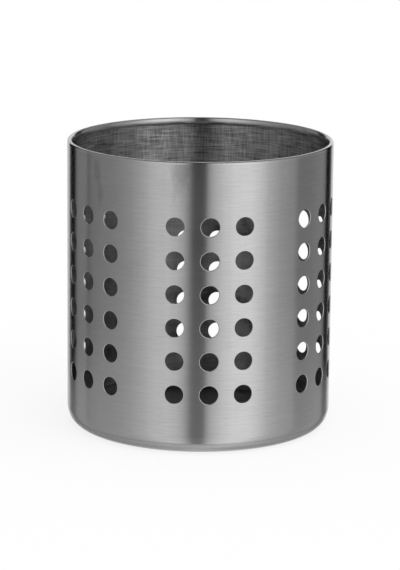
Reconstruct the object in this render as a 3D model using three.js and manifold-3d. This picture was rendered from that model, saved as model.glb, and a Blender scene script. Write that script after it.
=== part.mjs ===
// A round cutlery holder in brushed stainless steel, open at the top, with drainage holes all round.
// A perforated sheet is rolled into a tube, welded down one side and curled inwards at the mouth.
// A pressed pan closes the bottom and is welded to the tube in the rounded bottom edge.
// Millimetres, +Z up. The origin is the middle of the underside, and the front faces -Y.
import * as THREE from "three";
import { mergeVertices } from "three/addons/utils/BufferGeometryUtils.js";
import Module from "manifold-3d";

const wasm = await Module();
wasm.setup();

// Overall sizes of the holder
const outerDiameter = 120;
const overallHeight = 131;
const sheetThickness = 0.6;

// Mouth: the sheet turns inwards over the top and tucks back under itself
const curlHollowRadius = 0.55;
const curlSideLength = 1.1;
const curlTuckAngle = THREE.MathUtils.degToRad(90);

// Rounded bottom edge, a quarter of an ellipse from the wall to the underside
const cornerReach = 6.8;
const cornerRise = 8.6;

// Holes in the wall: groups of columns, evenly spread along the sheet. The seam lies in the gap
// that is left over. The groups are counted from 0 at the seam, going round towards +X.
// The two beside the seam lie a little nearer to their other neighbours.
const holeDiameter = 8.2;
const rowPitch = 15;
const columnPitch = 15.4;
const lowestRow = 27.4;
const rowCount = 6;
const columnsInGroup = 3;
const groupCount = 6;
const groupPitch = 63.5;
const firstGroupShift = 0.8;
const lastGroupShift = -0.6;
const frontGroup = 1;

// Bottom pan: a flat ring that the holder stands on, and a raised floor inside it.
// The drains lie in a ring at a share of the floor's radius, round one in the middle.
const footWidth = 8;
const floorLift = 1.5;
const stepRun = 2.5;
const drainDiameter = 8;
const drainRingShare = 0.6;
const drainsInRing = 6;

// Welds: ground flush outside, with a low bead left inside.
// The one round the pan lies at a share of the height of the rounded edge.
const jointHeightShare = 0.56;
const jointWidth = 0.5;
const seamWidth = 0.8;
const beadHeight = 0.25;
const beadClearance = 1;

// How far a cutter runs past what it cuts
const cutOverrun = 2;

// Facets of the round shapes
const turnSteps = 72;
const holeSides = 12;
const curlFacetAngle = THREE.MathUtils.degToRad(30);
const cornerFacetAngle = THREE.MathUtils.degToRad(15);
const mergeDistance = 1e-4;

const outerRadius = outerDiameter / 2;
const curlRadius = sheetThickness + curlHollowRadius;
const curlWidth = 2 * curlRadius;
const curlHeight = curlWidth + curlSideLength;
const jointHeight = cornerRise * jointHeightShare;
const jointTop = jointHeight + jointWidth / 2;
const jointBottom = jointHeight - jointWidth / 2;
const footOuterRadius = outerRadius - cornerReach;
const footInnerRadius = footOuterRadius - footWidth;
const floorRadius = footInnerRadius - stepRun;
const drainRingRadius = floorRadius * drainRingShare;
const groupAngle = groupPitch / outerRadius;
const columnAngle = columnPitch / outerRadius;
const seamAngle = ((groupCount - 1) / 2 - frontGroup) * groupAngle - Math.PI;

const brushedSteel = new THREE.MeshStandardMaterial({ color: 0xa9a9a7, roughness: 0.34, metalness: 1 });
const pressedSteel = new THREE.MeshStandardMaterial({ color: 0xb0b0ae, roughness: 0.42, metalness: 1 });
const weldSteel = new THREE.MeshStandardMaterial({ color: 0x8d8b88, roughness: 0.5, metalness: 1 });

function toSolid(geometry) {
  const bare = geometry.clone();
  bare.deleteAttribute("normal");
  bare.deleteAttribute("uv");
  const merged = mergeVertices(bare, mergeDistance);
  return new wasm.Manifold(new wasm.Mesh({
    numProp: 3,
    vertProperties: new Float32Array(merged.attributes.position.array),
    triVerts: new Uint32Array(merged.index.array),
  }));
}

function toMesh(name, solid, material) {
  const { vertProperties, triVerts } = solid.getMesh();
  const geometry = new THREE.BufferGeometry();
  geometry.setAttribute("position", new THREE.BufferAttribute(vertProperties, 3));
  geometry.setIndex(new THREE.BufferAttribute(triVerts, 1));
  geometry.computeVertexNormals();
  const mesh = new THREE.Mesh(geometry, material);
  mesh.name = name;
  return mesh;
}

// A closed section, drawn as radius and height, turned once round the vertical axis
function turned(section) {
  const closed = [...section, section[0]];
  const geometry = new THREE.LatheGeometry(closed, turnSteps);
  geometry.rotateX(Math.PI / 2);
  return toSolid(geometry);
}

// Puts a cutter on the circle of the given radius, turned to face outwards; angle 0 is the front
function placeAround(geometry, angle, radius, height) {
  geometry.rotateZ(angle);
  geometry.translate(radius * Math.sin(angle), -radius * Math.cos(angle), height);
  return toSolid(geometry);
}

function arc(centreRadius, centreHeight, radius, fromAngle, toAngle) {
  const clockwise = toAngle < fromAngle;
  const curve = new THREE.EllipseCurve(
    centreRadius, centreHeight, radius, radius, fromAngle, toAngle, clockwise,
  );
  return curve.getPoints(Math.ceil(Math.abs(toAngle - fromAngle) / curlFacetAngle));
}

// The rounded bottom edge between two heights, on the outer face or inset by the sheet
function cornerCurve(inset, lowHeight, highHeight) {
  const reach = cornerReach - inset;
  const rise = cornerRise - inset;
  const angleAt = (height) => Math.asin(Math.max(-1, (height - cornerRise) / rise));
  const fromAngle = angleAt(lowHeight);
  const toAngle = angleAt(highHeight);
  const curve = new THREE.EllipseCurve(
    footOuterRadius, cornerRise, reach, rise, fromAngle, toAngle, false,
  );
  return curve.getPoints(Math.ceil((toAngle - fromAngle) / cornerFacetAngle));
}

// One face of the wall from the welded joint to the edge of the sheet inside the curl
function wallFace(inset) {
  const middle = outerRadius - curlRadius;
  const topArcHeight = overallHeight - curlRadius;
  const lowArcHeight = overallHeight - curlHeight + curlRadius;
  return [
    ...cornerCurve(inset, jointTop, cornerRise),
    ...arc(middle, topArcHeight, curlRadius - inset, 0, Math.PI),
    ...arc(middle, lowArcHeight, curlRadius - inset, Math.PI, Math.PI + curlTuckAngle),
  ];
}

function rolledTube() {
  return turned([...wallFace(0), ...wallFace(sheetThickness).reverse()]);
}

function wallHole(angle, height) {
  const radius = holeDiameter / 2;
  const length = sheetThickness + 2 * cutOverrun;
  const cutter = new THREE.CylinderGeometry(radius, radius, length, holeSides);
  return placeAround(cutter, angle, outerRadius - sheetThickness / 2, height);
}

function pierceWall(tube) {
  const groupShifts = Array(groupCount).fill(0);
  groupShifts[0] = firstGroupShift;
  groupShifts[groupCount - 1] = lastGroupShift;
  let pierced = tube;
  for (let group = 0; group < groupCount; group += 1) {
    const middleAngle = (group - frontGroup) * groupAngle + groupShifts[group] / outerRadius;
    for (let column = 0; column < columnsInGroup; column += 1) {
      const angle = middleAngle + (column - (columnsInGroup - 1) / 2) * columnAngle;
      for (let row = 0; row < rowCount; row += 1) {
        pierced = pierced.subtract(wallHole(angle, lowestRow + row * rowPitch));
      }
    }
  }
  return pierced;
}

// The slot between the two edges of the rolled sheet, which the seam weld fills
function seamSlot() {
  const depth = curlWidth + 2 * cutOverrun;
  const height = overallHeight + 2 * cutOverrun;
  const slot = new THREE.BoxGeometry(seamWidth, depth, height);
  return placeAround(slot, seamAngle, outerRadius - curlWidth / 2, overallHeight / 2);
}

// The low bead left along the inside of the seam, from the rounded edge up to the curl
function seamBead() {
  const depth = sheetThickness / 2 + beadHeight;
  const bottom = cornerRise + beadClearance;
  const top = overallHeight - curlHeight - beadClearance;
  const bead = new THREE.BoxGeometry(seamWidth, depth, top - bottom);
  return placeAround(bead, seamAngle, outerRadius - sheetThickness / 2 - depth / 2, (top + bottom) / 2);
}

function panFace(inset) {
  return [
    ...cornerCurve(inset, inset, jointBottom).reverse(),
    new THREE.Vector2(footInnerRadius, inset),
    new THREE.Vector2(floorRadius, floorLift + inset),
    new THREE.Vector2(drainDiameter / 2, floorLift + inset),
  ];
}

function drainHole(angle) {
  const radius = drainDiameter / 2;
  const length = sheetThickness + 2 * cutOverrun;
  const cutter = new THREE.CylinderGeometry(radius, radius, length, holeSides);
  cutter.rotateX(Math.PI / 2);
  return placeAround(cutter, angle, drainRingRadius, floorLift + sheetThickness / 2);
}

// The middle drain is the open centre of the turned section. The others are cut round it,
// evenly on both sides of the seam.
function bottomPan() {
  let pan = turned([...panFace(0).reverse(), ...panFace(sheetThickness)]);
  for (let drain = 0; drain < drainsInRing; drain += 1) {
    pan = pan.subtract(drainHole(seamAngle + (2 * Math.PI * (drain + 0.5)) / drainsInRing));
  }
  return pan;
}

// The weld between tube and pan: its outside carries on the rounded edge, its inside is a low bead
function jointWeld() {
  const outside = cornerCurve(0, jointBottom, jointTop);
  const inside = cornerCurve(sheetThickness, jointBottom, jointTop);
  const crestRadius = (inside.at(0).x + inside.at(-1).x) / 2 - beadHeight;
  const crest = new THREE.Vector2(crestRadius, jointHeight);
  return turned([...outside, inside.at(-1), crest, inside.at(0)]);
}

const tube = rolledTube();
const slot = seamSlot();
const holder = new THREE.Group();
holder.add(
  toMesh("perforated_wall", pierceWall(tube.subtract(slot)), brushedSteel),
  toMesh("seam_weld", tube.intersect(slot).add(seamBead()), weldSteel),
  toMesh("base_pan", bottomPan(), pressedSteel),
  toMesh("base_weld", jointWeld(), weldSteel),
);

export default holder;
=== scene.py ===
import functools
import math
import random
import bmesh
import bpy
import numpy as np
from mathutils import Matrix, Vector


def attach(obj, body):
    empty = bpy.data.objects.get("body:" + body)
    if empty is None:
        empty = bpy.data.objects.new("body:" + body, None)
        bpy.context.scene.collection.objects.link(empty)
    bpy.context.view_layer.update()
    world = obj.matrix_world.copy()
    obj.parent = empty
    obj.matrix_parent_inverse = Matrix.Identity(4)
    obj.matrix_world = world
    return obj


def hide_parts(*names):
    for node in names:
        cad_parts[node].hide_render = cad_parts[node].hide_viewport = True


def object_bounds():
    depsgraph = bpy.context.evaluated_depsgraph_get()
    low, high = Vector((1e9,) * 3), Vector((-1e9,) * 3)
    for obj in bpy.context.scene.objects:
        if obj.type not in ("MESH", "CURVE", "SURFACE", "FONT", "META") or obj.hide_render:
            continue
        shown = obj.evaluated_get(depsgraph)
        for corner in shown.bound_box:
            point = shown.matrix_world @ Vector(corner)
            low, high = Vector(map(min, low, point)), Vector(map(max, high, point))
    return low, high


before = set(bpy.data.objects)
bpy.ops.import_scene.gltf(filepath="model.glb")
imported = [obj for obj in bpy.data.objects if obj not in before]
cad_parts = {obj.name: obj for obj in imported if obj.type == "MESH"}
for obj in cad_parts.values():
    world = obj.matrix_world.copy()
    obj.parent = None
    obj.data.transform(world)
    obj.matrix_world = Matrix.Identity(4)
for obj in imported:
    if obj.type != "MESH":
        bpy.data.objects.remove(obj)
low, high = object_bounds()
print("frame loaded with", len(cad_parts), "nodes")

mm = 0.001  # Blender works in metres, and sizes here are written in millimetres
hair = 0.01 * mm  # the finest difference that counts
sewGap = 0.005 * mm  # points nearer than this are joined

# The whole holder. Its width and height come from the frame.
holder = {
    "radius": (high.x - low.x) / 2,
    "height": high.z,
    "thickness": 0.6 * mm,  # one gauge of sheet for the wall and the bottom
    "cornerReach": 6.8 * mm,  # the rounded bottom edge, a quarter of an ellipse
    "cornerRise": 8.6 * mm,
    "jointHeightShare": 0.56,  # where the weld round the bottom lies in the rounded edge
    "jointWidth": 0.5 * mm,
    "seamWidth": 0.8 * mm,
    "groups": 6,  # of columns of holes, evenly spread along the sheet
    "groupPitch": 63.5 * mm,
    "frontGroup": 1,  # its number, counted from 0 at the seam towards +X
}
holder["jointTop"] = holder["cornerRise"] * holder["jointHeightShare"] + holder["jointWidth"] / 2
holder["jointBottom"] = holder["jointTop"] - holder["jointWidth"]
holder["footRadius"] = holder["radius"] - holder["cornerReach"]
holder["sheetLength"] = 2 * math.pi * holder["radius"]
firstToLast = (holder["groups"] - 1) * holder["groupPitch"]
holder["firstGroup"] = (holder["sheetLength"] - firstToLast) / 2  # from the seam
seamToFront = holder["firstGroup"] + holder["frontGroup"] * holder["groupPitch"]
holder["seamAngle"] = -seamToFront / holder["radius"]


# Helpers for colours and nodes

def linear(hexColour):
    shown = [int(hexColour[i:i + 2], 16) / 255 for i in (1, 3, 5)]
    return [c / 12.92 if c <= 0.04045 else ((c + 0.055) / 1.055) ** 2.4 for c in shown] + [1.0]


white, black = linear("#ffffff"), linear("#000000")

# Settings that many nodes share
adding = {"operation": "ADD"}
subtracting = {"operation": "SUBTRACT"}
multiplying = {"operation": "MULTIPLY"}
greatest = {"operation": "MAXIMUM"}
colours = {"data_type": "RGBA"}
vectors = {"data_type": "FLOAT_VECTOR"}
upright = {"rotation_type": "Z_AXIS"}


def inUse(sockets, key):
    # a socket by its name, or by its position, among those that the node's settings leave in use
    shown = [socket for socket in sockets if socket.enabled]
    return shown[key] if isinstance(key, int) else next(s for s in shown if s.name == key)


def addNode(tree, kind, inputs=None, settings=None):
    # An input gets a value, or a link from a socket or from a node's first output, or a list of links.
    node = tree.nodes.new(kind)
    for name, value in (settings or {}).items():
        setattr(node, name, value)
    for key, given in (inputs or {}).items():
        sources = given if isinstance(given, list) else [given]
        if not isinstance(sources[0], (bpy.types.Node, bpy.types.NodeSocket)):
            inUse(node.inputs, key).default_value = given
            continue
        for source in sources:
            output = inUse(source.outputs, 0) if isinstance(source, bpy.types.Node) else source
            tree.links.new(output, inUse(node.inputs, key))
    return node


def emptyTree(owner):
    # clears the tree of a material or a world, and gives the function that adds nodes to it
    owner.use_nodes = True
    owner.node_tree.nodes.clear()
    return functools.partial(addNode, owner.node_tree)


# The inputs of a Geometry Nodes tree have the kinds of the values that they take
socketKinds = {int: "Int", float: "Float", bpy.types.Object: "Object", bpy.types.Material: "Material"}


def newGeometryTree(name, values):
    # a tree with a named input for each value, and the function that adds nodes to it
    tree = bpy.data.node_groups.new(name, "GeometryNodeTree")
    tree.interface.new_socket("Geometry", in_out="INPUT", socket_type="NodeSocketGeometry")
    for label, value in values.items():
        kind = "NodeSocket" + socketKinds[type(value)]
        tree.interface.new_socket(label, in_out="INPUT", socket_type=kind)
    tree.interface.new_socket("Geometry", in_out="OUTPUT", socket_type="NodeSocketGeometry")
    add = functools.partial(addNode, tree)
    return tree, add, add("NodeGroupInput").outputs


def finishTree(tree, result):
    addNode(tree, "NodeGroupOutput", {"Geometry": result})
    return tree


def sewTogether(add, parts):
    # joins the parts, and the points where they meet
    joined = add("GeometryNodeJoinGeometry", {"Geometry": parts})
    real = add("GeometryNodeRealizeInstances", {"Geometry": joined})
    return add("GeometryNodeMergeByDistance", {"Distance": sewGap, "Geometry": real})


# Helpers for pieces and their meshes

def newPiece(name, mesh):
    piece = bpy.data.objects.new(name, mesh)
    bpy.context.scene.collection.objects.link(piece)
    return piece


def runTree(piece, tree, values):
    # sets the named inputs on a modifier, and keeps its result as a plain mesh
    modifier = piece.modifiers.new(tree.name, "NODES")
    modifier.node_group = tree
    for item in tree.interface.items_tree:
        if item.in_out == "INPUT" and item.name in values:
            modifier[item.identifier] = values[item.name]
    graph = bpy.context.evaluated_depsgraph_get()
    made = bpy.data.meshes.new_from_object(
        piece.evaluated_get(graph), preserve_all_data_layers=True, depsgraph=graph)
    piece.modifiers.remove(modifier)
    piece.data = made
    made.name = piece.name


def setNormals(mesh):
    # each point faces as the true curve does, apart from the flat cut edges
    facing = np.zeros(len(mesh.vertices) * 3, np.float32)
    mesh.attributes["facing"].data.foreach_get("vector", facing)
    corners = np.zeros(len(mesh.loops), np.int32)
    mesh.loops.foreach_get("vertex_index", corners)
    normals = facing.reshape(-1, 3)[corners]
    for polygon in mesh.polygons:
        if not polygon.use_smooth:
            normals[polygon.loop_start:polygon.loop_start + polygon.loop_total] = polygon.normal
    mesh.normals_split_custom_set(normals.tolist())


def dropLayers(mesh):
    for label in ("facing", "shift", "finish"):
        if label in mesh.attributes:
            mesh.attributes.remove(mesh.attributes[label])


def smoothShading(mesh, sharpAngle=None):
    # an edge is kept sharp where the surface turns by more than the angle
    mesh.polygons.foreach_set("use_smooth", [True] * len(mesh.polygons))
    if sharpAngle:
        mesh.set_sharp_from_angle(angle=math.radians(sharpAngle))
    mesh.update()


def finishMesh(mesh, materials, sharpAngle=None):
    # every face starts with the first material
    mesh.materials.clear()
    for material in materials:
        mesh.materials.append(material)
    mesh.polygons.foreach_set("material_index", [0] * len(mesh.polygons))
    smoothShading(mesh, sharpAngle)


# Sections of the sheet. Each point is a radius, a height, and the way it faces: outwards and upwards.

def arcPath(centre, reach, rise, fromDegrees, toDegrees, steps):
    path = []
    for step in range(steps + 1):
        angle = math.radians(fromDegrees + (toDegrees - fromDegrees) * step / steps)
        across, up = math.cos(angle), math.sin(angle)
        facing = Vector((across / reach, up / rise)).normalized()
        path.append((centre[0] + reach * across, centre[1] + rise * up, facing.x, facing.y))
    return path


def cornerPath(fromHeight, toHeight, steps):
    # the outside of the rounded bottom edge between two heights
    rise = holder["cornerRise"]
    ends = [math.degrees(math.asin((height - rise) / rise)) for height in (fromHeight, toHeight)]
    return arcPath((holder["footRadius"], rise), holder["cornerReach"], rise, *ends, steps)


def innerFace(path):
    # the other face of the sheet, run back the other way
    depth = holder["thickness"]
    return [(radius - out * depth, height - up * depth, -out, -up, *rest)
            for radius, height, out, up, *rest in reversed(path)]


def keepVectors(mesh, label, values):
    # stores a vector for each point
    layer = mesh.attributes.new(label, "FLOAT_VECTOR", "POINT")
    layer.data.foreach_set("vector", np.array(values, np.float32).ravel())


def latheMesh(name, path, sides, closed):
    # turns a section round the tube's axis, and keeps the way that each point faces
    count = len(path)
    points, facing = [], []
    for side in range(sides):
        angle = 2 * math.pi * side / sides
        across, along = math.cos(angle), math.sin(angle)
        for radius, height, out, up in path:
            points.append((radius * across, radius * along, height))
            facing.append((out * across, out * along, up))
    faces = []
    for side in range(sides):
        here, there = side * count, (side + 1) % sides * count
        for step in range(count if closed else count - 1):
            following = (step + 1) % count
            faces.append((here + step, there + step, there + following, here + following))
    mesh = bpy.data.meshes.new(name)
    mesh.from_pydata(points, [], faces)
    keepVectors(mesh, "facing", facing)
    return mesh


# Steel finishes. The photograph is a neutral grey throughout, so the steel has no tint.

def aroundMiddle(span):
    # the part of a noise that is used
    return {"From Min": 0.5 - span, "From Max": 0.5 + span}


def darkenSpots(add, where, smear, marksAndShade, steel):
    # each finger mark, or spot of painted shade, strongest in the middle and ragged at the edge
    for angle, height, across, up, strength in marksAndShade["spots"]:
        turn = math.radians(angle)
        centre = (holder["radius"] * math.sin(turn), -holder["radius"] * math.cos(turn), height)
        away = add("ShaderNodeVectorMath", {0: where, 1: centre}, subtracting)
        size = (1 / across, 1 / across, 1 / up)
        scaled = add("ShaderNodeVectorMath", {0: away, 1: size}, multiplying)
        reach = add("ShaderNodeVectorMath", {0: scaled}, {"operation": "LENGTH"})
        ragged = add("ShaderNodeMath", {0: reach, 1: smear}, adding)
        spot = add("ShaderNodeMapRange", {
            "Value": ragged, "From Min": marksAndShade["core"], "From Max": marksAndShade["edge"],
            "To Min": strength, "To Max": 0})
        steel = add("ShaderNodeMix", {"Factor": spot, "A": steel, "B": black}, colours)
    return steel


def steelFinish(look, marksAndShade=None):
    material = bpy.data.materials.new(look["name"])
    add = emptyTree(material)
    where = add("ShaderNodeTexCoord").outputs["Object"]

    def pattern(size, detail):
        scale = [1 / side for side in size]
        spread = add("ShaderNodeMapping", {"Scale": scale, "Vector": where})
        return add("ShaderNodeTexNoise", {"Scale": 1, "Detail": detail, "Vector": spread})

    fine = pattern(look["fineGrain"], 2)
    coarse = pattern(look["coarseGrain"], 2)
    marks = pattern(look["marks"], 3)
    grain = add("ShaderNodeMix", {"Factor": look["coarseShare"], "A": fine, "B": coarse})
    uneven = add("ShaderNodeMix", {"Factor": look["marksShare"], "A": grain, "B": marks})
    if "grainEnds" in look:
        height = add("ShaderNodeSeparateXYZ", {"Vector": where}).outputs["Z"]
        shown = add("ShaderNodeMapRange", {
            "Value": height, "From Min": look["grainEnds"], "From Max": look["grainFull"],
            "To Min": look["grainLeft"]})
        uneven = add("ShaderNodeMix", {"Factor": shown, "A": marks, "B": uneven})
    tone = add("ShaderNodeMapRange", {"Value": uneven, **aroundMiddle(look["noiseSpan"])})
    steel = add("ShaderNodeMix", {
        "Factor": tone, "A": linear(look["dark"]), "B": linear(look["light"])}, colours)
    # finger marks, and a spot of painted shade, darken the steel in places
    if marksAndShade:
        steel = darkenSpots(add, where, pattern(marksAndShade["smear"], 2), marksAndShade, steel)
    rough = add("ShaderNodeMapRange", {
        "Value": marks, **aroundMiddle(look["marksSpan"]),
        "To Min": look["roughness"] - look["roughSpread"],
        "To Max": look["roughness"] + look["roughSpread"]})
    relief = add("ShaderNodeBump", {"Strength": 1, "Distance": look["grainDepth"], "Height": grain})
    inputs = {
        "Base Color": steel, "Roughness": rough, "Normal": relief, "Metallic": 1,
        "Anisotropic": look["anisotropy"], "Anisotropic Rotation": look["anisotropyTurn"]}
    if look["anisotropy"]:
        byMap = {"direction_type": "UV_MAP", "uv_map": "sheet"}
        inputs["Tangent"] = add("ShaderNodeTangent", settings=byMap)
    shader = add("ShaderNodeBsdfPrincipled", inputs)
    add("ShaderNodeOutputMaterial", {"Surface": shader})
    return material


# Stainless steel, belt ground round the tube: reflections stay sharp round it and smear up and down.
# The real grain is under 0.1 mm apart, so it is drawn coarse enough to show.
brushedSteel = {
    "name": "brushedStainless",
    "fineGrain": (6 * mm, 6 * mm, 0.26 * mm),
    "coarseGrain": (20 * mm, 20 * mm, 0.5 * mm),
    "coarseShare": 0.4,
    "marks": (16 * mm, 16 * mm, 13 * mm),
    "marksShare": 0.3,
    "noiseSpan": 0.2,  # of the noise about its middle, from the dark tone to the light one
    "marksSpan": 0.2,  # the same for the marks, from the smoother steel to the rougher
    "dark": "#c3c3c3",
    "light": "#d4d4d4",
    "roughness": 0.23,
    "roughSpread": 0.015,
    "grainDepth": 0.01 * mm,
    "anisotropy": 1,
    "anisotropyTurn": 0.25,  # a quarter turn from the grain
}

# Finger marks on the brushed wall, under the rim, and one spot of painted shade where the dark reflected
# band meets the lighter steel
fingerMarksAndPaintedShade = {
    "smear": (2.5 * mm, 2.5 * mm, 5 * mm),  # of the noise that makes their edges ragged
    "core": 0.9,  # where the fade starts, and where it ends, counted in half sizes of the mark
    "edge": 1.5,
    # degrees from the front, height, half the width, half the height, and how much it darkens
    "spots": (
        (-53.2, 122.5 * mm, 2.5 * mm, 7 * mm, 0.16),
        (-51.3, 113.3 * mm, 2.2 * mm, 8 * mm, 0.16),
        # the last spot is painted shade, a shaded step at the left edge of the dark reflected band, not a
        # mark
        (-12.7, 131 * mm, 5 * mm, 18 * mm, 0.24)),
}

# The same sheet inside the tube, ground both ways near the mouth, which leaves a fine crossed grain.
# It fades below the mouth, from the height where it is full to the one where little is left.
insideSteel = dict(
    brushedSteel, name="crossGroundStainless", fineGrain=(0.55 * mm, 0.55 * mm, 7 * mm),
    coarseGrain=(9 * mm, 9 * mm, 0.5 * mm), coarseShare=0.6, marksShare=0.15, noiseSpan=0.14,
    grainFull=102 * mm, grainEnds=80 * mm, grainLeft=0.3, dark="#707070", light="#e4e4e4", roughness=0.34)

# Steel pressed smooth where a tool has rolled it over: the mouth and the outer edges of the holes
burnishedSteel = dict(
    brushedSteel, name="burnishedStainless", dark="#d0d0d0", light="#dadada", roughness=0.2,
    grainDepth=0.001 * mm)

# Bare sheared steel in the holes: torn rather than ground, so dull and dark, with no grain
cutSteel = dict(
    brushedSteel, name="shearedStainless", fineGrain=(0.3 * mm,) * 3, coarseGrain=(1 * mm,) * 3,
    marks=(6 * mm,) * 3, dark="#747474", light="#8e8e8e", roughness=0.3, anisotropy=0, anisotropyTurn=0)

# Pressed stainless bottom, scuffed in all directions: an even satin grey
pressedSteel = dict(
    cutSteel, name="satinStainless", fineGrain=(0.35 * mm,) * 3, coarseGrain=(1.4 * mm,) * 3,
    marks=(9 * mm,) * 3, dark="#bcbcbc", light="#cecece", roughness=0.4)

# The same bottom inside the cup, with darker tones as painted shade deep down in the tube; it is as rough
# as the outside
shadedCupSteel = dict(pressedSteel, name="dullStainless", dark="#6e6e6e", light="#828282")

# Ground weld: a little darker than the sheet, with fine pits
weldSteel = dict(cutSteel, name="dressedWeld", dark="#a0a0a0", light="#c4c4c4", roughness=0.4)


# The punched wall. It is made flat, as the real sheet is: x along the sheet, y into its thickness, z up.
# A tree repeats the punched patch and the blank strips, and rolls the sheet into the tube.

wall = {
    "name": "punchedWall",
    "holeRadius": 4.1 * mm,
    "edgeRoll": 0.3 * mm,  # the punch draws the outer edge of a hole in
    "backRoll": 0.1 * mm,
    "rowPitch": 15 * mm,
    "lowestRow": 27.4 * mm,
    "rows": 6,
    "columnPitch": 15.4 * mm,  # along the outside of the tube
    "columns": 3,
    "firstGroupShift": 0.8 * mm,  # the groups beside the seam lie a little nearer to their other neighbours
    "lastGroupShift": -0.6 * mm,
    "curlRadius": 1.15 * mm,  # the turn over the mouth
    "curlSlope": 2.15 * mm,  # its long curve down inside
    "curlTuck": 1.25 * mm,  # its short turn back under itself
    "cornerSteps": 6,
    "curlSteps": (8, 14, 10),  # of the three stretches of the curl
    "stepsPerSide": 10,  # of a punched patch
    # its rings: shares of the way from the hole to its edge, and leans in the rolled edges, in degrees
    "outerShares": (1, 0.45, 0.1, 0),
    "edgeLeans": (30, 60, 90),
    "backLeans": (90, 45, 0),
    "innerShares": (0.3, 1),
    "stripStep": 1.3 * mm,  # in the plain strips
    "patternLift": 200 * mm,  # keeps the inside's part of the UV map clear of the outside's
}
wall["groupWidth"] = wall["columns"] * wall["columnPitch"]

finishes = ("brushed", "inside", "cut", "burnished")  # a face's finish is its place in this row


def flatMesh(name, points, faces):
    # points: place, facing and shift of the pattern; faces: corners, finish and whether it is smooth
    mesh = bpy.data.meshes.new(name)
    mesh.from_pydata([point[0] for point in points], [], [face[0] for face in faces])
    keepVectors(mesh, "facing", [point[1] for point in points])
    keepVectors(mesh, "shift", [point[2] for point in points])
    layer = mesh.attributes.new("finish", "INT", "FACE")
    layer.data.foreach_set("value", [finishes.index(face[1]) for face in faces])
    mesh.polygons.foreach_set("use_smooth", [face[2] for face in faces])
    return mesh


def patchStops(centre, pitch):
    # the points along one side of a punched patch, seen at equal angles from the hole
    steps = wall["stepsPerSide"]
    angles = [math.radians(90 * step / steps - 45) for step in range(steps + 1)]
    return [centre + pitch / 2 * math.tan(angle) for angle in angles]


def measured(path, anchor):
    # adds the distance along the path, counted so that the anchor's is its height
    run = [0.0]
    for before, after in zip(path, path[1:]):
        run.append(run[-1] + math.dist(before[:2], after[:2]))
    shift = path[anchor][1] - run[anchor]
    return [(*point, length + shift) for point, length in zip(path, run)]


def wallPaths():
    # the outside face in three stretches: the rounded edge, the straight wall and the curl at the mouth
    corner = measured(cornerPath(holder["jointTop"], holder["cornerRise"], wall["cornerSteps"]), -1)
    heights = set()
    for row in range(wall["rows"]):
        heights.update(patchStops(wall["lowestRow"] + row * wall["rowPitch"], wall["rowPitch"]))
    heights = sorted(heights)
    kept = [heights[0]] + [b for a, b in zip(heights, heights[1:]) if b - a > hair]
    straight = [(holder["radius"], height, 1.0, 0.0, height) for height in kept]
    curl, slope, tuck = wall["curlRadius"], wall["curlSlope"], wall["curlTuck"]
    overSteps, innerSteps, underSteps = wall["curlSteps"]
    middle = holder["radius"] - curl
    over = arcPath((middle, holder["height"] - curl), curl, curl, 0, 90, overSteps)
    inner = arcPath((middle, holder["height"] - slope), curl, slope, 90, 180, innerSteps)[1:]
    under = arcPath((middle, holder["height"] - slope), curl, tuck, 180, 270, underSteps)[1:]
    return corner, straight, measured(over + inner + under, 0)


def outsideOf(path):
    return [(*point, "outside") for point in path]


def insideOf(path):
    return [(*point, "inside") for point in innerFace(path)]


def finishBetween(one, other, rolledOver):
    # of two points of a section, or two rings: each has its side of the sheet last
    if one[-1] != other[-1]:
        return "cut"
    if one[-1] == "inside":
        return "inside"
    return "burnished" if rolledOver else "brushed"


def sweepSection(stops, section, closed):
    # draws a section of the sheet along x
    points, faces = [], []
    for stop in stops:
        for radius, height, out, up, run, side in section:
            shift = run - height + (wall["patternLift"] if side == "inside" else 0)
            points.append(((stop, holder["radius"] - radius, height), (0, -out, up), (0, 0, shift)))
    count = len(section)
    curlStart = holder["height"] - wall["curlRadius"] - hair
    for column in range(len(stops) - 1):
        for step in range(count if closed else count - 1):
            following = (step + 1) % count
            here, there = column * count, (column + 1) * count
            one, other = section[step], section[following]
            finish = finishBetween(one, other, min(one[4], other[4]) > curlStart)
            corners = (here + step, there + step, there + following, here + following)
            faces.append((corners, finish, finish != "cut"))
    return points, faces


def patchRings():
    # One hole, as rings from the outer face, through the hole, to the inner face. Each has its distance
    # from the middle, its share of the way to the patch's edge, its depth, how far it leans into the hole,
    # its distance from the middle along the surface, and its side of the sheet.
    depth, roll, backRoll = holder["thickness"], wall["edgeRoll"], wall["backRoll"]
    outer, back = wall["holeRadius"] + roll, wall["holeRadius"] + backRoll
    rings = [(outer, share, 0, 0, outer, "outside") for share in wall["outerShares"]]
    for lean in (math.radians(angle) for angle in wall["edgeLeans"]):
        distance, y = outer - roll * math.sin(lean), roll - roll * math.cos(lean)
        rings.append((distance, 0, y, lean, outer - roll * lean, "outside"))
    for lean in (math.radians(angle) for angle in wall["backLeans"]):
        distance, y = back - backRoll * math.sin(lean), depth - backRoll + backRoll * math.cos(lean)
        rings.append((distance, 0, y, lean, back - backRoll * lean, "inside"))
    return rings + [(back, share, depth, 0, back, "inside") for share in wall["innerShares"]]


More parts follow.
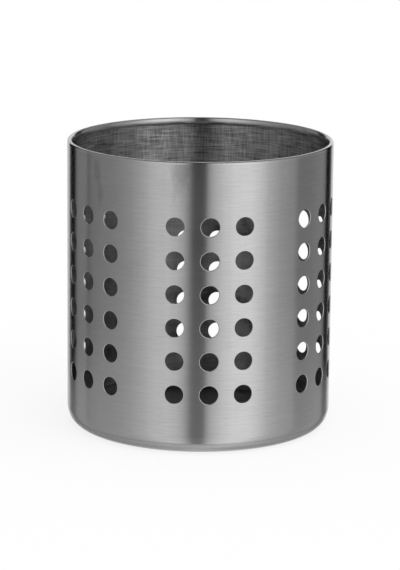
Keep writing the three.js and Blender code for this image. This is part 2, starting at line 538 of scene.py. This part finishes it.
def punchedPatch():
    # one hole in its patch of sheet
    rings = patchRings()
    steps = 4 * wall["stepsPerSide"]
    points, faces = [], []
    for distance, share, y, lean, flatDistance, side in rings:
        facingY = -math.cos(lean) if side == "outside" else math.cos(lean)
        lift = wall["patternLift"] if side == "inside" else 0
        spread = flatDistance - distance
        for step in range(steps):
            angle = math.radians(360 * step / steps - 45)
            across, up = math.cos(angle), math.sin(angle)
            square = 1 / max(abs(across), abs(up))
            x = (distance * (1 - share) + square * wall["columnPitch"] / 2 * share) * across
            z = (distance * (1 - share) + square * wall["rowPitch"] / 2 * share) * up
            facing = (-math.sin(lean) * across, facingY, -math.sin(lean) * up)
            points.append(((x, y, z), facing, (spread * across, 0, spread * up + lift)))
    for ring, (one, other) in enumerate(zip(rings, rings[1:])):
        finish = finishBetween(one, other, other[3])
        here, there = ring * steps, (ring + 1) * steps
        for step in range(steps):
            following = (step + 1) % steps
            corners = (here + step, here + following, there + following, there + step)
            faces.append((corners, finish, True))
    return flatMesh("punchedPatch", points, faces)


def columnEnds():
    # the sheet below and above one column of holes
    corner, straight, curl = wallPaths()
    below, above = corner + straight[:1], straight[-1:] + curl
    stops = patchStops(0, wall["columnPitch"])
    points, faces = sweepSection(stops, insideOf(below) + outsideOf(below), False)
    upperPoints, upperFaces = sweepSection(stops, outsideOf(above) + insideOf(above), False)
    shift = len(points)
    for corners, finish, smooth in upperFaces:
        faces.append(([number + shift for number in corners], finish, smooth))
    return flatMesh("columnEnds", points + upperPoints, faces)


def plainStrip(name, width):
    # sheet without holes, from the start of x
    path = sum(wallPaths(), [])
    steps = round(width / wall["stripStep"])
    stops = [width * step / steps for step in range(steps + 1)]
    return flatMesh(name, *sweepSection(stops, outsideOf(path) + insideOf(path), True))


def rollTree(sizes):
    # bends the flat sheet round the tube, and turns the way that each point faces with it
    tree, add, given = newGeometryTree("rollSheet", sizes)
    position = add("GeometryNodeInputPosition")
    place = add("ShaderNodeSeparateXYZ", {"Vector": position}).outputs
    stored = add("GeometryNodeInputNamedAttribute", {"Name": "shift"}, vectors)
    shift = add("ShaderNodeSeparateXYZ", {"Vector": stored}).outputs
    along = add("ShaderNodeMath", {0: place["X"], 1: shift["X"]}, adding)
    up = add("ShaderNodeMath", {0: place["Z"], 1: shift["Z"]}, adding)
    pattern = add("ShaderNodeCombineXYZ", {"X": along, "Y": up})
    mapped = add("GeometryNodeStoreNamedAttribute", {
        "Name": "sheet", "Geometry": given["Geometry"], "Value": pattern,
    }, {"data_type": "FLOAT2", "domain": "CORNER"})
    turn = add("ShaderNodeMath", {0: place["X"], 1: given["Radius"]}, {"operation": "DIVIDE"})
    angle = add("ShaderNodeMath", {0: turn, 1: given["Start Angle"]}, adding)
    facing = add("GeometryNodeInputNamedAttribute", {"Name": "facing"}, vectors)
    turned = add("ShaderNodeVectorRotate", {"Vector": facing, "Angle": angle}, upright)
    faced = add("GeometryNodeStoreNamedAttribute", {
        "Name": "facing", "Geometry": mapped, "Value": turned}, {**vectors, "domain": "POINT"})
    depth = add("ShaderNodeMath", {0: place["Y"], 1: given["Radius"]}, subtracting)
    front = add("ShaderNodeCombineXYZ", {"Y": depth, "Z": place["Z"]})
    rolled = add("ShaderNodeVectorRotate", {"Vector": front, "Angle": angle}, upright)
    moved = add("GeometryNodeSetPosition", {"Geometry": faced, "Position": rolled})
    return finishTree(tree, moved)


def setFinishes(add, geometry, given):
    # gives each finish's faces their material
    finish = add("GeometryNodeInputNamedAttribute", {"Name": "finish"}, {"data_type": "INT"})
    for number, label in enumerate(finishes):
        chosen = add("FunctionNodeCompare", {
            "B": number, "A": finish}, {"data_type": "INT", "operation": "EQUAL"})
        geometry = add("GeometryNodeSetMaterial", {
            "Geometry": geometry, "Selection": chosen, "Material": given[label.capitalize()]})
    return geometry


def repeatInRow(add, part, count, first, step, axis="X"):
    # repeats a part along the sheet, or up it
    start = add("ShaderNodeCombineXYZ", {axis: first})
    offset = add("ShaderNodeCombineXYZ", {axis: step})
    row = add("GeometryNodeMeshLine", {"Count": count, "Start Location": start, "Offset": offset})
    return add("GeometryNodeInstanceOnPoints", {"Points": row, "Instance": part})


def endShare(add, given, distance):
    # 1 in the group beside an end of the sheet, falling to 0 across the plain strips on both sides of it
    group = {0: given["First Group"], 1: given["Half Group"]}
    start = add("ShaderNodeMath", group, subtracting)
    end = add("ShaderNodeMath", group, adding)
    nextStart = add("ShaderNodeMath", {0: start, 1: given["Group Pitch"]}, adding)
    rise = add("ShaderNodeMapRange", {"Value": distance, "From Min": given["Near End"], "From Max": start})
    fall = add("ShaderNodeMapRange", {
        "Value": distance, "From Min": end, "From Max": nextStart, "To Min": 1, "To Max": 0})
    return add("ShaderNodeMath", {0: rise, 1: fall}, {"operation": "MINIMUM"})


def shiftEndGroups(add, given, sheet):
    # moves the first and the last group along the sheet, and stretches or squeezes the strips beside them
    position = add("GeometryNodeInputPosition")
    fromStart = add("ShaderNodeSeparateXYZ", {"Vector": position}).outputs["X"]
    fromEnd = add("ShaderNodeMath", {0: given["Sheet Length"], 1: fromStart}, subtracting)
    first = add("ShaderNodeMath", {
        0: endShare(add, given, fromStart), 1: given["First Group Shift"]}, multiplying)
    last = add("ShaderNodeMath", {
        0: endShare(add, given, fromEnd), 1: given["Last Group Shift"]}, multiplying)
    along = add("ShaderNodeMath", {0: first, 1: last}, adding)
    offset = add("ShaderNodeCombineXYZ", {"X": along})
    return add("GeometryNodeSetPosition", {"Geometry": sheet, "Offset": offset})


def sheetTree(rolling, values):
    tree, add, given = newGeometryTree("punchedSheet", values)
    patch, ends, strip, endStrip = (
        add("GeometryNodeObjectInfo", {"Object": given[label]}).outputs["Geometry"]
        for label in ("Patch", "Column Ends", "Plain Strip", "End Strip"))
    holes = repeatInRow(add, patch, given["Rows"], given["Lowest Row"], given["Row Pitch"], "Z")
    column = add("GeometryNodeJoinGeometry", {"Geometry": [ends, holes]})
    group = repeatInRow(add, column, given["Columns"], given["First Column"], given["Column Pitch"])
    groups = repeatInRow(add, group, given["Groups"], given["First Group"], given["Group Pitch"])
    gaps = add("ShaderNodeMath", {0: given["Groups"], 1: 1}, subtracting)
    firstGap = add("ShaderNodeMath", {0: given["First Group"], 1: given["Half Group"]}, adding)
    strips = repeatInRow(add, strip, gaps, firstGap, given["Group Pitch"])
    endStrips = repeatInRow(add, endStrip, 2, given["Near End"], given["End To End"])
    sewn = sewTogether(add, [endStrips, strips, groups])
    rolled = add("GeometryNodeGroup", {
        "Geometry": shiftEndGroups(add, given, sewn), "Radius": given["Radius"],
        "Start Angle": given["Start Angle"]}, {"node_tree": rolling})
    return finishTree(tree, setFinishes(add, rolled, given))


def closeSlot(mesh, cutMaterial):
    # the two edges of the sheet that the seam weld joins
    angle = holder["seamAngle"]
    alongSheet = Vector((math.cos(angle), math.sin(angle), 0))
    work = bmesh.new()
    work.from_mesh(mesh)
    borders = [edge for edge in work.edges if edge.is_boundary]
    for face in bmesh.ops.holes_fill(work, edges=borders, sides=0)["faces"]:
        face.normal_update()
        face.material_index = mesh.materials.find(cutMaterial.name)
        if face.normal.dot(alongSheet) * face.calc_center_median().dot(alongSheet) > 0:
            face.normal_flip()
    work.to_mesh(mesh)
    work.free()


rollSizes = {"Radius": holder["radius"], "Start Angle": holder["seamAngle"]}
rolling = rollTree(rollSizes)
slotHalf = holder["seamWidth"] / 2
endWidth = holder["firstGroup"] - wall["groupWidth"] / 2 - slotHalf
sheetParts = {
    "Patch": punchedPatch(),
    "Column Ends": columnEnds(),
    "Plain Strip": plainStrip("plainStrip", holder["groupPitch"] - wall["groupWidth"]),
    "End Strip": plainStrip("endStrip", endWidth),
}
sources = {label: newPiece(mesh.name, mesh) for label, mesh in sheetParts.items()}
wallMaterials = {
    # with finger marks and one spot of painted shade
    "Brushed": steelFinish(brushedSteel, fingerMarksAndPaintedShade),
    "Inside": steelFinish(insideSteel),
    "Cut": steelFinish(cutSteel),
    "Burnished": steelFinish(burnishedSteel),
}
sheetValues = {
    "Rows": wall["rows"], "Row Pitch": wall["rowPitch"], "Lowest Row": wall["lowestRow"],
    "Columns": wall["columns"], "Column Pitch": wall["columnPitch"],
    "First Column": -(wall["columns"] - 1) / 2 * wall["columnPitch"],
    "Groups": holder["groups"], "Group Pitch": holder["groupPitch"], "First Group": holder["firstGroup"],
    "Half Group": wall["groupWidth"] / 2, "Near End": slotHalf,
    "End To End": holder["sheetLength"] - endWidth - 2 * slotHalf, "Sheet Length": holder["sheetLength"],
    "First Group Shift": wall["firstGroupShift"], "Last Group Shift": wall["lastGroupShift"],
    **rollSizes, **sources, **wallMaterials}
punchedWall = newPiece(wall["name"], bpy.data.meshes.new(wall["name"]))
runTree(punchedWall, sheetTree(rolling, sheetValues), sheetValues)
for source in sources.values():
    bpy.data.objects.remove(source)
closeSlot(punchedWall.data, wallMaterials["Cut"])
setNormals(punchedWall.data)
dropLayers(punchedWall.data)
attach(punchedWall, "root")
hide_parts("perforated_wall")
print("punched wall:", len(punchedWall.data.polygons), "faces")


# The seam weld: a strip as wide as the slot, ground flush outside, with its rippled bead left inside

seam = {
    "name": "seamWeld",
    "beadHeight": 0.25 * mm,
    "beadClearance": 1 * mm,  # from the rounded edge and from the curl
    "ripplePitch": 1.2 * mm,
    "stepsPerRipple": 4,
    "rippleShare": 0.3,  # of the bead's height
    "slotGap": 0.01 * mm,
    "stopShares": (-1, -0.8, -0.5, 0, 0.5, 0.8, 1),  # of half the width, across it
    "creaseAngle": 35,  # degrees, past which an edge looks sharp
}


def seamStrip():
    corner, straight, curl = wallPaths()
    bottom = holder["cornerRise"] + seam["beadClearance"]
    top = holder["height"] - wall["curlSlope"] - wall["curlTuck"] - seam["beadClearance"]
    steps = round((top - bottom) / (seam["ripplePitch"] / seam["stepsPerRipple"]))
    heights = [bottom + (top - bottom) * step / steps for step in range(steps + 1)]
    bead = [(holder["radius"], height, 1.0, 0.0, height) for height in heights]
    flush = bead[::2 * seam["stepsPerRipple"]]
    section = outsideOf(corner + flush + curl) + insideOf(corner + bead + curl)
    half = holder["seamWidth"] / 2 - seam["slotGap"]
    stops = [half * share for share in seam["stopShares"]]
    points, faces = sweepSection(stops, section, True)
    raised = []
    for place, facing, shift in points:
        x, y, z = place
        if shift[2] > wall["patternLift"] / 2 and bottom < z < top:
            ripple = abs(math.sin(math.pi * (z + abs(x) / 2) / seam["ripplePitch"]))
            y += seam["beadHeight"] * (1 - (x / half) ** 2) * (1 - seam["rippleShare"] * (1 - ripple))
        raised.append(((x, y, z), facing, shift))
    return flatMesh(seam["name"], raised, faces)


weldMaterial = steelFinish(weldSteel)
seamWeld = newPiece(seam["name"], seamStrip())
runTree(seamWeld, rolling, rollSizes)
# in the order of the finishes: its outside is ground and rolled over with the wall
for material in (wallMaterials["Brushed"], weldMaterial, weldMaterial, wallMaterials["Burnished"]):
    seamWeld.data.materials.append(material)
faceFinishes = [entry.value for entry in seamWeld.data.attributes["finish"].data]
seamWeld.data.polygons.foreach_set("material_index", faceFinishes)
closeSlot(seamWeld.data, weldMaterial)
dropLayers(seamWeld.data)
smoothShading(seamWeld.data, seam["creaseAngle"])
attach(seamWeld, "root")
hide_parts("seam_weld")
print("seam weld:", len(seamWeld.data.polygons), "faces")


# The weld round the bottom: ground flush in the rounded edge, a hair lower than the sheet, with a few pits

joint = {
    "name": "baseWeld",
    "recess": 0.02 * mm,
    "unevenness": 0.02 * mm,
    "waves": 6,  # that make it uneven
    "crests": (20, 160),  # round the tube: the fewest and the most in a wave
    "latestStart": 6.28,  # of a wave, in radians
    "beadHeight": 0.25 * mm,  # inside
    "beadShares": (0.75, 1, 0.75),  # of its height, across it
    "pits": 46,
    "pitDepth": 0.16 * mm,
    "pitShares": (0.3, 0.9),  # of that depth: the least and the greatest
    "pitWidth": 0.7,  # degrees round the tube
    "shownPits": (-47.3, -41, -8, -5),  # degrees from the front, as the photograph shows them
    "sides": 1080,
    "seed": 11,
    "creaseAngle": 35,
}


def jointRing():
    outside = cornerPath(holder["jointBottom"], holder["jointTop"], len(joint["beadShares"]) + 1)
    inside = innerFace(outside)
    for step, share in enumerate(joint["beadShares"], 1):
        radius, height, out, up = inside[step]
        bead = joint["beadHeight"] * share
        inside[step] = (radius + out * bead, height + up * bead, out, up)
    mesh = latheMesh(joint["name"], outside + inside, joint["sides"], True)
    chance = random.Random(joint["seed"])
    pits = [(math.radians(angle), 1.0) for angle in joint["shownPits"]]
    pits += [(chance.uniform(-math.pi, math.pi), chance.uniform(*joint["pitShares"]))
             for pit in range(joint["pits"])]
    waves = [(chance.randint(*joint["crests"]), chance.uniform(0, joint["latestStart"]))
             for wave in range(joint["waves"])]
    half = math.radians(joint["pitWidth"]) / 2
    perSide = len(outside) + len(inside)
    for side in range(joint["sides"]):
        x, y, z = mesh.vertices[side * perSide].co
        angle = math.atan2(x, -y)
        swell = sum(math.sin(crests * angle + phase) for crests, phase in waves) / (joint["waves"] / 2)
        depth = joint["recess"] + joint["unevenness"] * swell
        for place, share in pits:
            apart = abs((angle - place + math.pi) % (2 * math.pi) - math.pi)
            if apart < half:
                depth = max(depth, joint["pitDepth"] * share * math.cos(apart / half * math.pi / 2))
        for step in range(1, len(outside) - 1):
            vertex = mesh.vertices[side * perSide + step]
            out, up = outside[step][2:]
            vertex.co -= Vector((out * math.sin(angle), -out * math.cos(angle), up)) * depth
    return mesh


baseWeld = newPiece(joint["name"], jointRing())
dropLayers(baseWeld.data)
finishMesh(baseWeld.data, [weldMaterial], joint["creaseAngle"])
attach(baseWeld, "root")
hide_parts("base_weld")
print("base weld:", len(baseWeld.data.polygons), "faces")


# The pressed bottom: the lower half of the rounded edge, a flat ring to stand on, and a raised floor
# with drains

pan = {
    "name": "basePan",
    "footWidth": 8 * mm,
    "floorLift": 1.5 * mm,
    "stepRun": 2.5 * mm,
    "floorBend": 0.8 * mm,  # radii of the pressed bends, underneath
    "footBend": 1.2 * mm,
    "bendSteps": 6,
    "floorStart": 2 * mm,  # the section's flat start on the floor, and how short of the edge its foot stops
    "footStop": 0.5 * mm,
    "cornerSteps": 10,
    "drainRadius": 4 * mm,
    "drainRoll": 0.2 * mm,
    "drainSides": 48,
    "drainSteps": (4, 3),  # of its rolled edges, above and below
    "drainRingShare": 0.6,
    "drains": 6,
    "sides": 288,
    "upFacing": 0.05,  # faces that look up by more than this share are inside the cup
}
pan["footInner"] = holder["footRadius"] - pan["footWidth"]
pan["floorRadius"] = pan["footInner"] - pan["stepRun"]


def roundedPath(corners, steps):
    # a travelled line with its corners rounded; the sheet faces to the right of the way it goes
    path = []
    places = [Vector(corner[:2]) for corner in corners]
    for index, (radius, height, bend) in enumerate(corners):
        place = places[index]
        before = (place - places[index - 1]).normalized() if index else None
        after = (places[index + 1] - place).normalized() if index + 1 < len(corners) else before
        before = before or after
        turn = math.atan2(before.cross(after), before.dot(after))
        side = 1 if turn > 0 else -1
        facing = Vector((before.y, -before.x))
        start = place - before * bend * math.tan(abs(turn) / 2)
        middle = start - facing * side * bend
        for step in range(steps + 1 if bend else 1):
            leaned = Matrix.Rotation(turn * step / steps, 2) @ facing if bend else facing
            path.append((*(middle + leaned * side * bend), leaned.x, leaned.y))
    return path


def panPath():
    step = roundedPath([
        (pan["floorRadius"] - pan["floorStart"], pan["floorLift"], 0),
        (pan["floorRadius"], pan["floorLift"], pan["floorBend"]),
        (pan["footInner"], 0, pan["footBend"]),
        (holder["footRadius"] - pan["footStop"], 0, 0)], pan["bendSteps"])
    return step + cornerPath(0, holder["jointBottom"], pan["cornerSteps"])


def drainEdge():
    # the edge of a drain, pierced from above: drawn in at the top and sheared below
    radius, roll = pan["drainRadius"], pan["drainRoll"]
    top, bottom = pan["floorLift"] + holder["thickness"], pan["floorLift"]
    upperSteps, lowerSteps = pan["drainSteps"]
    upper = arcPath((radius + roll, top - roll), roll, roll, 90, 180, upperSteps)
    lower = arcPath((radius + roll / 2, bottom + roll / 2), roll / 2, roll / 2, 180, 270, lowerSteps)
    return latheMesh("drainEdge", upper + lower, pan["drainSides"], False)


def panTree(sizes):
    tree, add, given = newGeometryTree("drainedFloor", sizes)
    ring = add("GeometryNodeMeshCircle", {"Vertices": given["Drains"], "Radius": given["Ring Radius"]})
    turn = add("ShaderNodeCombineXYZ", {"Z": given["Ring Turn"]})
    turned = add("GeometryNodeTransform", {"Geometry": ring, "Rotation": turn})
    centre = add("GeometryNodeMeshLine", {"Count": 1})
    places = add("GeometryNodeJoinGeometry", {"Geometry": [turned, centre]})
    rim = add("GeometryNodeCurvePrimitiveCircle", {
        "Resolution": given["Sides"], "Radius": given["Floor Radius"]})
    topHeight = add("ShaderNodeMath", {0: given["Floor Lift"], 1: given["Thickness"]}, adding)
    parts = []
    for label, height, up in (("Upper", topHeight, 1), ("Lower", given["Floor Lift"], -1)):
        drain = add("GeometryNodeCurvePrimitiveCircle", {
            "Resolution": given["Drain Sides"], "Radius": given[label + " Drain Radius"]})
        drains = add("GeometryNodeInstanceOnPoints", {"Points": places, "Instance": drain})
        outline = add("GeometryNodeJoinGeometry", {"Geometry": [rim, drains]})
        real = add("GeometryNodeRealizeInstances", {"Geometry": outline})
        sheet = add("GeometryNodeFillCurve", {"Curve": real})
        lift = add("ShaderNodeCombineXYZ", {"Z": height})
        face = add("GeometryNodeTransform", {"Geometry": sheet, "Translation": lift})
        if up < 0:
            face = add("GeometryNodeFlipFaces", {"Mesh": face})
        parts.append(add("GeometryNodeStoreNamedAttribute", {
            "Name": "facing", "Value": (0, 0, up), "Geometry": face}, vectors))
    edge = add("GeometryNodeObjectInfo", {"Object": given["Drain Edge"]})
    parts.append(add("GeometryNodeInstanceOnPoints", {
        "Points": places, "Instance": edge.outputs["Geometry"]}))
    return finishTree(tree, sewTogether(add, [given["Geometry"], *parts]))


underside = panPath()
section = innerFace(underside) + underside
basePan = newPiece(pan["name"], latheMesh(pan["name"], section, pan["sides"], False))
edgeSource = newPiece("drainEdge", drainEdge())
panSizes = {
    "Drain Edge": edgeSource, "Floor Radius": underside[0][0],
    "Sides": pan["sides"], "Drain Sides": pan["drainSides"],
    "Upper Drain Radius": pan["drainRadius"] + pan["drainRoll"],
    "Lower Drain Radius": pan["drainRadius"] + pan["drainRoll"] / 2,
    "Drains": pan["drains"], "Ring Radius": pan["floorRadius"] * pan["drainRingShare"],
    # evenly on both sides of the seam
    "Ring Turn": holder["seamAngle"] - math.pi / 2 + math.pi / pan["drains"],
    "Floor Lift": pan["floorLift"], "Thickness": holder["thickness"]}
runTree(basePan, panTree(panSizes), panSizes)
bpy.data.objects.remove(edgeSource)
finishMesh(basePan.data, [steelFinish(pressedSteel), steelFinish(shadedCupSteel)])
# faces that look up, inside the cup, get the darker copy of the steel: painted shade
shadedCupFaces = [int(face.normal.z > pan["upFacing"]) for face in basePan.data.polygons]
basePan.data.polygons.foreach_set("material_index", shadedCupFaces)
setNormals(basePan.data)
dropLayers(basePan.data)
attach(basePan, "root")
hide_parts("base_pan")
print("base pan:", len(basePan.data.polygons), "faces")


# Camera, at the photograph's angle: a long lens a little above the mouth

view = {
    "distance": 1236 * mm,  # from the axis of the tube
    "height": 345.84 * mm,
    "turn": math.radians(-4.47),  # round the tube
    "pitch": math.radians(12.8746),
    "roll": math.radians(0.5606),
    "yaw": math.radians(0.017),
    "sensor": 36,
    "lens": 175.65,
    "farthest": 20,  # metres
}

camera = bpy.data.cameras.new("camera")
camera.sensor_fit = "AUTO"
camera.sensor_width = view["sensor"]
camera.lens = view["lens"]
camera.clip_end = view["farthest"]
cameraObject = newPiece("camera", camera)
cameraObject.matrix_world = (
    Matrix.Rotation(view["turn"], 4, "Z")
    @ Matrix.Translation((0, -view["distance"], view["height"]))
    @ Matrix.Rotation(-view["yaw"], 4, "Z")
    @ Matrix.Rotation(math.pi / 2 - view["pitch"], 4, "X")
    @ Matrix.Rotation(view["roll"], 4, "Z"))
bpy.context.scene.camera = cameraObject


# Floor and soft daylight studio: a white floor that keeps the holder's shadow

studio = {
    "floorSize": 12,  # metres
    "floorGlow": 0.8,  # of the floor's white as the camera sees it, so that the shadow stays faint
    "skyShare": 0.7,  # of the light on the floor; the soft sun gives the rest
    "sunSpread": math.radians(60),
    "sunTilt": math.radians(25),
    "sunTurn": math.radians(40),
}


def floorPlane():
    half = studio["floorSize"] / 2
    corners = [(-half, -half, 0), (half, -half, 0), (half, half, 0), (-half, half, 0)]
    mesh = bpy.data.meshes.new("floor")
    mesh.from_pydata(corners, [], [(0, 1, 2, 3)])
    material = bpy.data.materials.new("whiteFloor")
    add = emptyTree(material)
    rays = add("ShaderNodeLightPath").outputs
    share = add("ShaderNodeMath", {0: rays["Is Camera Ray"], 1: studio["floorGlow"]}, multiplying)
    cloth = add("ShaderNodeBsdfDiffuse", {"Color": white})
    glow = add("ShaderNodeEmission", {"Color": white})
    surface = add("ShaderNodeMixShader", {0: share, 1: cloth, 2: glow})
    add("ShaderNodeOutputMaterial", {"Surface": surface})
    mesh.materials.append(material)
    return newPiece("floor", mesh)


def studioWorld():
    # white wherever it is seen or mirrored, and a little less as a lamp
    world = bpy.data.worlds.new("studio")
    add = emptyTree(world)
    rays = add("ShaderNodeLightPath").outputs
    mirrored = add("ShaderNodeMath", {0: rays["Is Glossy Ray"], 1: rays["Is Transmission Ray"]}, greatest)
    seen = add("ShaderNodeMath", {0: rays["Is Camera Ray"], 1: mirrored}, greatest)
    level = add("ShaderNodeMapRange", {"Value": seen, "To Min": studio["skyShare"], "To Max": 1})
    sky = add("ShaderNodeBackground", {"Color": white, "Strength": level})
    add("ShaderNodeOutputWorld", {"Surface": sky})
    return world


floor = floorPlane()
floor.visible_glossy = False
bpy.context.scene.world = studioWorld()

sun = bpy.data.lights.new("sun", "SUN")
sun.angle = studio["sunSpread"]
sun.energy = (1 - studio["skyShare"]) * math.pi / math.cos(studio["sunTilt"])
sunObject = newPiece("sun", sun)
sunObject.rotation_euler = (studio["sunTilt"], 0, studio["sunTurn"])
sunObject.visible_glossy = False


# What the steel mirrors: a round studio of white and dark cloth, seen in reflections only

tent = {
    "radius": 6,  # metres
    "sides": 96,
    "roofFrom": 62,  # degrees above the floor, where the cloth ends under a dark roof
    "roofBlur": 0.05,  # of that height, on both sides of it
    "roofTone": 0.06,
    "foldsPerTurn": 240,  # soft upright folds in the cloth
    "foldDepth": 0.16,
    "foldSpan": 0.25,  # of the noise about its middle, from the hollow of a fold to its crest
    "tableRadius": 200 * mm,  # the pale table near the holder, which veils what is mirrored low down
    "tableShift": 100 * mm,  # towards the camera
    "tableShare": 0.19,
    # tone of the cloth by degrees round the holder, from the camera's side
    "tones": (
        (-155, 0.65), (-153, 0), (-137.5, 0), (-133, 0.26), (-113.5, 0.255), (-111.5, 0.03), (-109.5, 0.23),
        (-75, 0.3), (-62, 0.38), (-50, 0.52), (-40, 0.69), (-25, 0.74), (-18, 0.62), (-13, 0.48), (-8, 0.2),
        (-6, 0.065), (5.3, 0.055), (6.8, 0.36), (12, 0.57), (20, 0.79), (30, 0.96), (40, 1.02), (50, 0.95),
        (62, 0.61), (75, 0.42), (90, 0.35), (93, 0.23), (106, 0.23), (137, 0.3), (139, 0), (154, 0),
        (159, 0.8)),
}


def clothMaterial():
    material = bpy.data.materials.new("studioCloth")
    add = emptyTree(material)
    where = add("ShaderNodeTexCoord").outputs["Object"]
    place = add("ShaderNodeSeparateXYZ", {"Vector": where}).outputs
    front = add("ShaderNodeMath", {0: place["Y"], 1: -1}, multiplying)
    around = add("ShaderNodeMath", {0: place["X"], 1: front}, {"operation": "ARCTAN2"})
    share = add("ShaderNodeMapRange", {"Value": around, "From Min": -math.pi, "From Max": math.pi})
    ramp = add("ShaderNodeValToRGB", {"Fac": share})
    stops = ramp.color_ramp.elements
    while len(stops) < len(tent["tones"]):
        stops.new(0.5)
    for stop, (angle, tone) in zip(stops, tent["tones"]):
        stop.position = (angle + 180) / 360
        stop.color = (tone, tone, tone, 1)
    folds = add("ShaderNodeTexNoise", {
        "W": around, "Scale": tent["foldsPerTurn"] / (2 * math.pi), "Detail": 2,
    }, {"noise_dimensions": "1D"})
    folded = add("ShaderNodeMapRange", {
        "Value": folds, **aroundMiddle(tent["foldSpan"]),
        "To Min": 1 - tent["foldDepth"], "To Max": 1 + tent["foldDepth"]})
    cloth = add("ShaderNodeVectorMath", {0: ramp, "Scale": folded}, {"operation": "SCALE"})
    roofHeight = tent["radius"] * math.sin(math.radians(tent["roofFrom"]))
    above = add("ShaderNodeMapRange", {
        "Value": place["Z"], "From Min": roofHeight * (1 - tent["roofBlur"]),
        "From Max": roofHeight * (1 + tent["roofBlur"])})
    roof = (tent["roofTone"],) * 3 + (1,)
    roofed = add("ShaderNodeMix", {"Factor": above, "A": cloth, "B": roof}, colours)
    glow = add("ShaderNodeEmission", {"Color": roofed})
    add("ShaderNodeOutputMaterial", {"Surface": glow})
    return material


def tableMaterial():
    material = bpy.data.materials.new("studioTable")
    add = emptyTree(material)
    clear = add("ShaderNodeBsdfTransparent")
    glow = add("ShaderNodeEmission", {"Color": white})
    veil = add("ShaderNodeMixShader", {0: tent["tableShare"], 1: clear, 2: glow})
    add("ShaderNodeOutputMaterial", {"Surface": veil})
    return material


def mirroredOnly(name, work, material):
    # a stage piece that only reflections see
    mesh = bpy.data.meshes.new(name)
    work.to_mesh(mesh)
    work.free()
    material.cycles.emission_sampling = "NONE"
    mesh.materials.append(material)
    piece = newPiece(name, mesh)
    for label in ("camera", "diffuse", "transmission", "volume_scatter", "shadow"):
        setattr(piece, "visible_" + label, False)
    return piece


dome = bmesh.new()
bmesh.ops.create_uvsphere(
    dome, u_segments=tent["sides"], v_segments=tent["sides"] // 2, radius=tent["radius"])
studioTent = mirroredOnly("studioTent", dome, clothMaterial())
studioTent.rotation_euler.z = view["turn"]
disc = bmesh.new()
bmesh.ops.create_circle(disc, cap_ends=True, segments=tent["sides"], radius=tent["tableRadius"])
studioTable = mirroredOnly("studioTable", disc, tableMaterial())
studioTable.location = Matrix.Rotation(view["turn"], 3, "Z") @ Vector((0, -tent["tableShift"], 0))
print("camera, floor and studio ready")

bpy.context.scene.view_settings.view_transform = "Standard"
